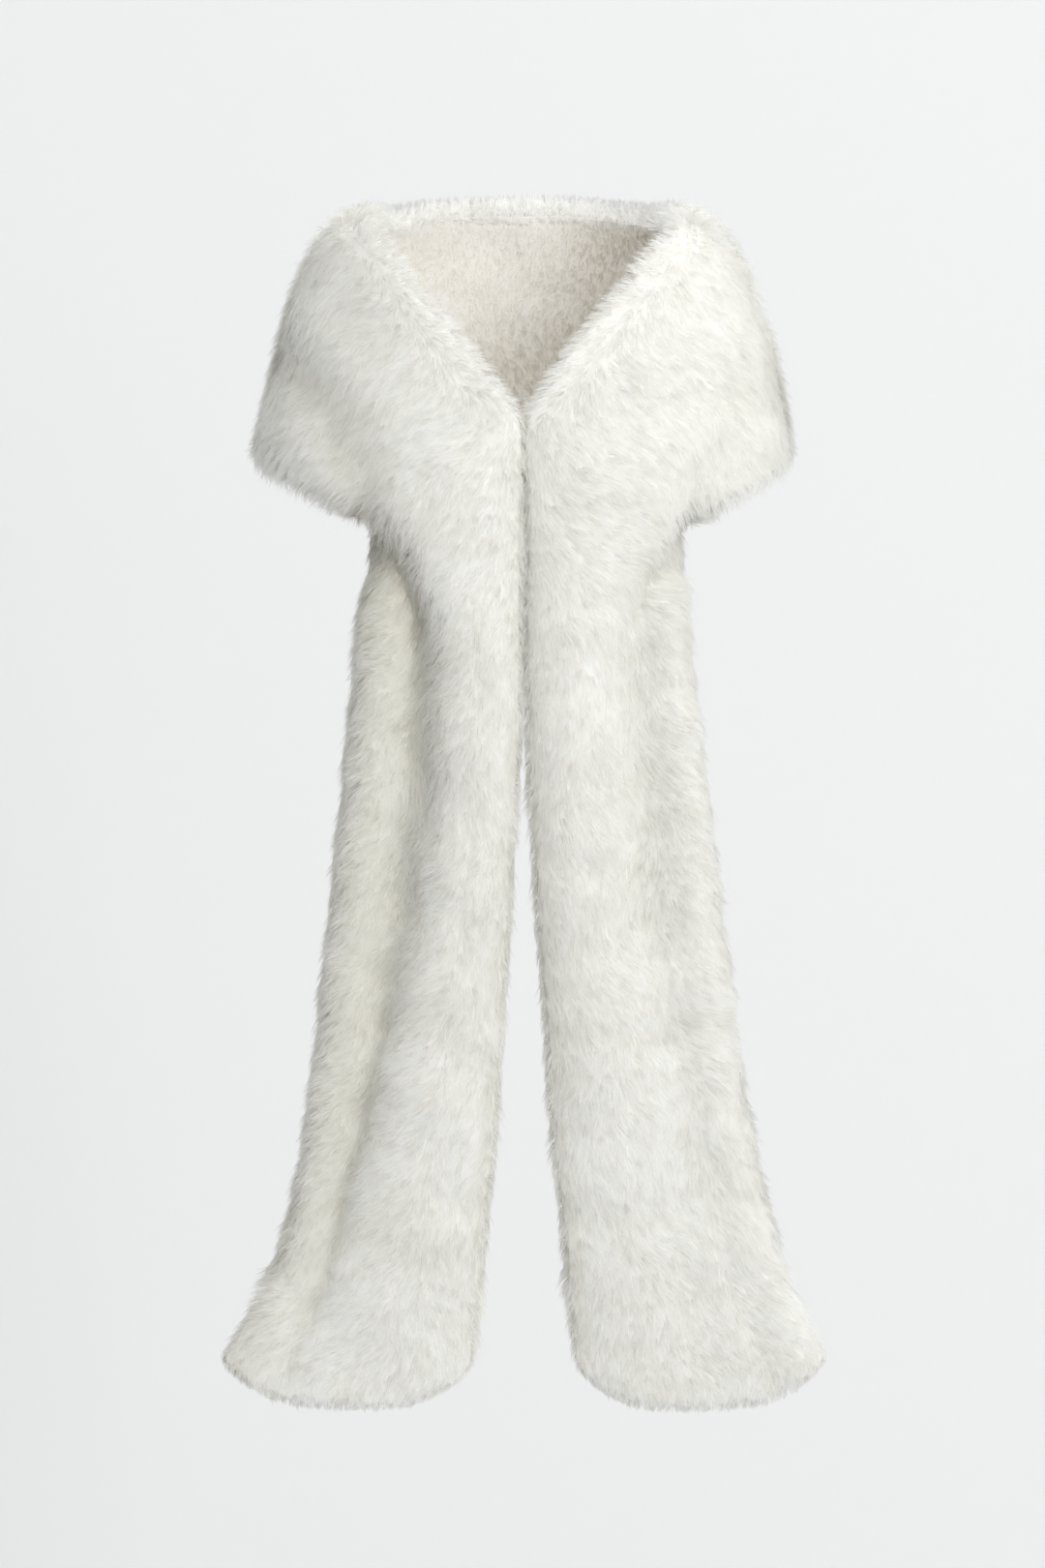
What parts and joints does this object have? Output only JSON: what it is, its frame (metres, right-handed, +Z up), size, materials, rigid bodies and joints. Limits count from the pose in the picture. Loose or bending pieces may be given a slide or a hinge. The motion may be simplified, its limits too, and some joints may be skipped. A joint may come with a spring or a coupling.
{
  "type": "faux fur shawl",
  "caption": "Long stole of white long-pile fake fur, worn as a cape round the back and upper arms with a V neck, its ends hanging in front to a flared hem.",
  "frame": {"origin": "midway between the wearer's shoulders, at the height where the shawl rests on them", "axes": "+Z up, the front faces -Y, +X towards the wearer's left"},
  "size_m": [0.6314, 0.3294, 1.2622],
  "materials": {
    "white_pile": "long silky pile",
    "cream_plush": "short brushed plush"
  },
  "bodies": {
    "root": {"back_cape": "white_pile", "right_front": "white_pile", "left_front": "white_pile", "back_lining": "cream_plush"}
  },
  "joints": []
}
